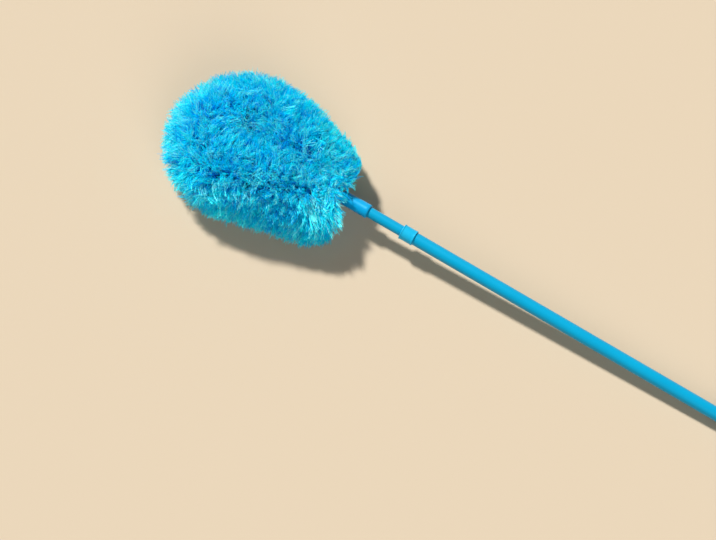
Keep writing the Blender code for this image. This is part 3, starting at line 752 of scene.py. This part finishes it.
def strand_tree():
    """Geometry nodes that grow a bunch of strands on a stretch of the wires."""
    tree = bpy.data.node_groups.new("Fibre strands", "GeometryNodeTree")
    tree.interface.new_socket(name="Geometry", in_out="OUTPUT", socket_type="NodeSocketGeometry")
    add_input(tree, "Geometry", "Geometry")
    add_input(tree, "Route", "Object")
    add_input(tree, "First", "Float", 0.0)
    add_input(tree, "Last", "Float", 0.1)
    add_input(tree, "Strands", "Int", STRANDS_IN_BUNCH)
    add_input(tree, "Points", "Int", STRAND_POINTS)
    add_input(tree, "Length", "Float", FIBRE_LENGTH)
    add_input(tree, "Radius", "Float", STRAND_RADIUS)
    add_input(tree, "Seed", "Int", 0)
    add_input(tree, "Finish", "Material")
    graph = Graph(tree)
    given = graph.add("NodeGroupInput", {})

    def random(low, high, shift):
        """A number of its own for each strand."""
        seed = given.part("Seed") + shift
        return graph.add("FunctionNodeRandomValue", {}, low, high, ID=strand, Seed=seed)

    index = graph.add("GeometryNodeInputIndex", {})
    points = given.part("Points")
    strand = (index / points).maths("FLOOR", index / points)
    share = (index - strand * points) / (points - 1)
    distance = random(given.part("First"), given.part("Last"), 0)
    spread = random(-math.pi, math.pi, 1)
    angle = spread + CROWNED * spread.maths("COSINE", spread)

    def gathered(pitch, pull, power):
        """How a strand's place and angle shift towards the middle of its lock or tuft, and
        three random numbers that the whole lock shares."""
        place = graph.vector(distance, angle * FIBRE_LENGTH * CELL_SHARE)
        flat = {"voronoi_dimensions": "2D"}
        cell = graph.add("ShaderNodeTexVoronoi", flat, place, Scale=1 / pitch)
        middle, turn, _ = cell.part("Position").xyz()
        pulled = pull * share ** power
        along = (middle - distance) * pulled
        around = (turn / (FIBRE_LENGTH * CELL_SHARE) - angle) * pulled
        return along, around, cell.part("Color").xyz()

    def waves(place):
        """Smooth random shifts along three axes, from -1 to 1."""
        noise = graph.add("ShaderNodeTexNoise", {}, place, Scale=1.0, Detail=1.0)
        return [2 * (part - 0.5) for part in noise.part("Color").xyz()]

    lock_along, lock_around, lock_random = gathered(LOCK_PITCH, LOCK_PULL, LOCK_PULL_POWER)
    tuft_along, tuft_around, tuft_random = gathered(TUFT_PITCH, TUFT_PULL, TUFT_PULL_POWER)
    late = share ** 2
    swirl_place = graph.vector(distance / SWIRL_SIZE, angle * (FIBRE_LENGTH / SWIRL_SIZE))
    swirl_x, swirl_y, _ = waves(swirl_place)
    at = distance + lock_along + tuft_along + swirl_x * late * SWIRL_ALONG
    at = at + random(-STRAND_STRAY_ALONG, STRAND_STRAY_ALONG, 2) * share
    at = at + (lock_random[0] - 0.5) * (2 * LOCK_STRAY_ALONG) * late
    turn = angle + lock_around + tuft_around + swirl_y * late * SWIRL_AROUND
    turn = turn + random(-STRAND_STRAY_AROUND, STRAND_STRAY_AROUND, 3) * share
    turn = turn + (lock_random[1] - 0.5) * (2 * LOCK_STRAY_AROUND) * late

    curve = graph.add("GeometryNodeObjectInfo", {}, given.part("Route")).part("Geometry")
    sample = graph.add("GeometryNodeSampleCurve", {"mode": "LENGTH"}, Curves=curve, Length=at)
    wire_x, wire_y, _ = sample.part("Position").xyz()
    ahead_x, ahead_y, _ = sample.part("Tangent").xyz()

    outward = turn.maths("COSINE", turn)
    upward = turn.maths("SINE", turn)
    reach = STRAND_REACH + random(-STRAND_STRAY_LENGTH, STRAND_STRAY_LENGTH, 4)
    length = given.part("Length") * (reach + LOCK_STRAY_LENGTH * (lock_random[2] - 0.5))
    onward = (0 - ahead_y).most(0.0)
    length = length + TIP_STRAND_EXTRA * outward.most(0.0) * onward * onward

    # Fibres that point into the loop meet those of its other side, and turn up or down
    clear = ahead_x.maths("ABSOLUTE", ahead_x).most(LEAST_SLANT)
    half_loop = (wire_y.maths("ABSOLUTE", wire_y) / clear).least(LOOP_RADIUS)
    inwards = (0 - outward).most(0.0)
    rising = upward.most(0.0)
    length = length * (1 + half_loop * inwards * rising * (2 * MIDDLE_EXTRA / LOOP_RADIUS))
    length = length * (1 - CROWN_SHORTER * rising * rising)
    radius = ROOT_RADIUS + (length - ROOT_RADIUS) * share
    room = half_loop + MIDDLE_OVERLAP
    inward = radius * inwards
    kept = (1 + (inward / room) ** MIDDLE_POWER) ** (-1 / MIDDLE_POWER)
    out = radius * outward * kept
    lift = (MIDDLE_LIFT_SLOPE * upward + MIDDLE_LIFT_START).within(-1.0, 1.0)
    up = radius * upward + inward * (1 - kept) * MIDDLE_LIFT * lift
    leaning = share * ((PLUG_FRONT + CROWN_DROP_LENGTH) - wire_x).most(0.0) / CROWN_DROP_LENGTH
    up = up - up.most(0.0) * leaning * CROWN_DROP

    # Fibres near the ferrule are combed along the pole, and the whole head leans to one side
    x = wire_x - out * ahead_y
    y = wire_y + out * ahead_x
    past = (x - PLUG_FRONT).most(0.0)
    fade = past.maths("EXPONENT", past * (-1 / ROOT_COMB_FADE))
    wide = (out / FIBRE_LENGTH) ** 2
    side = (y / SIDE_WIDTH).within(-1.0, 1.0)
    lower = side.most(0.0)
    upper = (0 - side).most(0.0)
    x = x - (up.most(0.0) / FIBRE_LENGTH) ** 2 * ROOT_COMB * fade
    x = x + (up.least(0.0) / FIBRE_LENGTH) ** 2 * UNDERSIDE_COMB * fade
    x = x + wide * wide * fade * (UPPER_SIDE_COMB * upper + LOWER_SIDE_COMB * lower)

    # The bulge is strongest on strands halfway between level and upright
    slant = 4 * outward * outward * (1 - outward * outward) * share * share
    x = x - slant * fade * (LOWER_BULGE * lower)
    near_ferrule = past.maths("EXPONENT", past * (-1 / SIDE_SPLAY_FADE))
    lean = SIDE_LEAN - TIP_LEAN_LESS * late
    y = y + lean * past * past / (past + SIDE_LEAN_START)
    splay = LOWER_SIDE_SPLAY * (past / SIDE_SPLAY_START).within(SIDE_SPLAY_LEAST, 1.0)
    y = y + splay * wide * lower * near_ferrule

    top = (up / FIBRE_LENGTH).within(0.0, 1.0)
    push_x = 0.0
    push_y = 0.0
    for part_x, part_y, gap, push in PARTINGS:
        gap_x = x - part_x
        gap_y = y - part_y
        near = (gap_x * gap_x + gap_y * gap_y) * (-1 / gap**2)
        strength = near.maths("EXPONENT", near) * top * (push / gap * PARTING_STRENGTH)
        push_x = push_x + gap_x * strength
        push_y = push_y + gap_y * strength

    wave_x = lock_random[0] * LOCK_WAVE_SPREAD
    wave_y = lock_random[1] * LOCK_WAVE_SPREAD
    lock_wave = waves(graph.vector(wave_x, wave_y, share * LOCK_WAVE_RUN))
    strand_wave = waves(graph.vector(strand * STRAND_WAVE_SPREAD, share * STRAND_WAVE_RUN))
    pairs = zip(lock_wave, strand_wave)
    bends = [(LOCK_WAVE * lock + STRAND_WAVE * own) * share for lock, own in pairs]
    x = x + push_x + bends[0]
    y = y + push_y + bends[1]
    height = up + WAVE_UPWARDS * bends[2] - FIBRE_DROOP * wide

    # Near the surface that the head lies on, fibres are pressed towards it, never through it
    floor = (MOUTH.z + x * math.sin(SLOPE)) / -math.cos(SLOPE)
    depth = height / floor
    rest = 1 - UNPRESSED_SHARE
    fall = (UNPRESSED_SHARE - depth) / rest
    pressed = floor * (1 - rest * fall.maths("EXPONENT", fall))
    low = depth.maths("GREATER_THAN", depth, UNPRESSED_SHARE)
    height = height + (pressed - height) * low
    ceiling = floor + CROWN_HEIGHT / math.cos(SLOPE)
    height = height.most(floor + 2 * STRAND_RADIUS).least(ceiling)

    def stored(geometry, name, value, kind="FLOAT", domain="POINT"):
        settings = {"data_type": kind, "domain": domain}
        return graph.add("GeometryNodeStoreNamedAttribute", settings, geometry, None, name, value)

    def read(name):
        return graph.add("GeometryNodeInputNamedAttribute", {"data_type": "FLOAT"}, name)

    cloud = graph.add("GeometryNodePoints", {}, given.part("Strands") * points)
    cloud = stored(cloud, "share", share)
    # The palest locks are painted highlights, and low shade gives dark strands, partly random tone
    # and partly painted shade
    highlight_lock = lock_random[1] ** HIGHLIGHT_LOCK_POWER
    shade = SHADE_OF_LOCK * lock_random[2] + SHADE_OF_TUFT * tuft_random[2]
    shade = shade + random(*SHADE_BY_CHANCE, 6) + SHADE_OF_HIGHLIGHT_LOCK * highlight_lock
    cloud = stored(cloud, "shade", shade)
    cloud = graph.add("GeometryNodeSetPosition", {}, cloud, None, graph.vector(x, y, height))
    curves = graph.add("GeometryNodePointsToCurves", {}, cloud, strand, share)
    swell = STRAND_ROOT_THICK + read("share") * STRAND_THICKENS - read("share") ** 2 * STRAND_THINS
    thick = given.part("Radius") * swell
    ring = graph.add("GeometryNodeCurvePrimitiveCircle", {}, STRAND_SIDES, Radius=1.0)
    ring = stored(ring, "ring", graph.add("GeometryNodeInputIndex", {}))
    mesh = graph.add("GeometryNodeCurveToMesh", {}, curves, ring, Scale=thick, Fill_Caps=True)
    mesh = graph.add("GeometryNodeSetShadeSmooth", {}, mesh, None, False)

    # A map of share by shade, in which each side of a strand has some width
    second = read("ring").maths("COMPARE", read("ring"), 1.0, 0.5)
    across = MAP_MARGIN + MAP_WIDTH * read("share").within(0.0, 1.0) - MAP_SIDE_WIDTH * second
    upwards = MAP_MARGIN + MAP_HEIGHT * read("shade").within(0.0, 1.0)
    upwards = upwards + MAP_SIDE_HEIGHT * read("ring")
    mesh = stored(mesh, "OFBake", graph.vector(across, upwards), "FLOAT2", "CORNER")
    mesh = graph.add("GeometryNodeRealizeInstances", {}, mesh)
    mesh = graph.add("GeometryNodeSetMaterial", {}, mesh, None, given.part("Finish"))
    graph.add("NodeGroupOutput", {}, mesh)
    return tree


def built(tree, **values):
    """The plain mesh that a tree makes with the given inputs."""
    holder = bpy.data.objects.new("holder", bpy.data.meshes.new("holder"))
    bpy.context.scene.collection.objects.link(holder)
    modifier = holder.modifiers.new("tree", "NODES")
    modifier.node_group = tree
    for item in tree.interface.items_tree:
        name = item.name.replace(" ", "_")
        if item.in_out == "INPUT" and name in values:
            modifier[item.identifier] = values[name]
    bpy.context.view_layer.update()
    graph = bpy.context.evaluated_depsgraph_get()
    mesh = bpy.data.meshes.new_from_object(holder.evaluated_get(graph), depsgraph=graph)
    bpy.data.objects.remove(holder)
    return mesh


def head():
    """The fibre bunches, one piece for each stretch of the loop."""
    points, total, before = wire_route()
    route = route_object(points)
    tree = strand_tree()
    first = before + FIRST_BUNCH_AFTER_BEND
    step = (total - 2 * first) / BUNCHES
    for number in range(BUNCHES):
        node = f"fibre_bunch_{number + 1:02d}"
        start = first + number * step
        seed = SEEDS_APART * number
        mesh = built(tree, Route=route, First=start, Last=start + step, Seed=seed, Finish=FIBRE)
        show(mesh, node + "_fibres", FIBRE, "inner_pole", "fibre", node)
    bpy.data.objects.remove(route)


head()

KEPT = {
    "lock_spindle": LOCK_PLASTIC,
    "expander_sleeve": LOCK_PLASTIC,
    "lock_cone": LOCK_PLASTIC,
    "core_plug": FERRULE_PLASTIC,
    "stop_nut": STEEL,
    "core_wire_a": STEEL,
    "core_wire_b": STEEL,
}
for node, finish in KEPT.items():
    slots = frame["nodes"][node].data.materials
    slots.clear()
    slots.append(finish)


# Stage, lights and camera

PHOTO_WIDTH = 716
PHOTO_HEIGHT = 540
VIEW_ELEVATION = math.radians(70)
POLE_FALL = math.radians(29.9)
METRES_PER_PIXEL = 0.00145
MOUTH_PIXEL = (369.0, 212.0)
LENS = 60.0
SENSOR = 36.0
FLOOR_HALF = 12.0
FLOOR_TINT = tint(202, 186, 162)
SKY_TINT = (0.93, 0.96, 1.0, 1.0)
SKY_LIGHT = 0.10
SKY_SEEN = 0.75
LIGHT_BOUNCES = 24

# Lamps: name, direction as parts to the right, away and up, width in degrees, strength, tint
LAMPS = (
    ("key lamp", (-0.44, 0.60, 0.81), 7.0, 4.7, (1.0, 0.98, 0.96)),
    ("fill lamp", (0.25, -0.80, 0.55), 40.0, 1.2, (1.0, 1.0, 1.0)),
)


def stage():
    """A plain pale floor and a pale world."""
    mesh = bpy.data.meshes.new("floor")
    half = FLOOR_HALF
    corners = [(-half, -half, 0.0), (half, -half, 0.0), (half, half, 0.0), (-half, half, 0.0)]
    mesh.from_pydata(corners, [], [(0, 1, 2, 3)])
    floor = bpy.data.objects.new("floor", mesh)
    bpy.context.scene.collection.objects.link(floor)
    material, graph = finish_graph("pale floor")
    surface(graph, Base_Color=FLOOR_TINT, Roughness=0.9, Specular_IOR_Level=0.1)
    mesh.materials.append(material)
    world = bpy.data.worlds.new("pale world")
    world.use_nodes = True
    world.node_tree.nodes.clear()
    graph = Graph(world.node_tree)
    path = graph.add("ShaderNodeLightPath", {})
    seen = path.part("Is Camera Ray").most(path.part("Is Glossy Ray"))
    strength = SKY_LIGHT + seen.most(path.part("Is Transmission Ray")) * SKY_SEEN
    sky = graph.add("ShaderNodeBackground", {}, SKY_TINT, strength)
    graph.add("ShaderNodeOutputWorld", {}, sky)
    bpy.context.scene.world = world


def camera():
    """A camera at the photograph's angle, with the pole running to the lower right."""
    turn = math.pi + math.atan2(math.tan(POLE_FALL), math.sin(VIEW_ELEVATION))
    right = Vector((math.cos(turn), math.sin(turn), 0.0))
    away = Vector((-math.sin(turn), math.cos(turn), 0.0))
    back = math.sin(VIEW_ELEVATION) * Vector((0, 0, 1)) - math.cos(VIEW_ELEVATION) * away
    down = back.cross(right) * -1
    aim = MOUTH.copy()
    aim -= right * (MOUTH_PIXEL[0] - PHOTO_WIDTH / 2) * METRES_PER_PIXEL
    aim += down * (PHOTO_HEIGHT / 2 - MOUTH_PIXEL[1]) * METRES_PER_PIXEL
    data = bpy.data.cameras.new("camera")
    data.lens = LENS
    data.sensor_width = SENSOR
    eye = bpy.data.objects.new("camera", data)
    bpy.context.scene.collection.objects.link(eye)
    distance = PHOTO_WIDTH * METRES_PER_PIXEL * LENS / SENSOR
    eye.location = aim + back * distance
    eye.rotation_euler = Matrix((right, back.cross(right), back)).transposed().to_euler()
    bpy.context.scene.camera = eye
    return right, away


def lamp(name, towards, width, strength, colour):
    """A distant soft lamp, from its direction, its width in degrees and its strength. It
    lights the whole floor evenly."""
    data = bpy.data.lights.new(name, "SUN")
    data.angle = math.radians(width)
    data.energy = strength
    data.color = colour
    light = bpy.data.objects.new(name, data)
    bpy.context.scene.collection.objects.link(light)
    light.location = towards
    light.rotation_euler = towards.to_track_quat("Z", "Y").to_euler()


stage()
RIGHT, AWAY = camera()
for name, (right, away, up), width, strength, colour in LAMPS:
    lamp(name, RIGHT * right + AWAY * away + Vector((0, 0, up)), width, strength, colour)
bpy.context.scene.cycles.max_bounces = LIGHT_BOUNCES
bpy.context.scene.cycles.diffuse_bounces = LIGHT_BOUNCES
bpy.context.scene.view_settings.view_transform = "Standard"
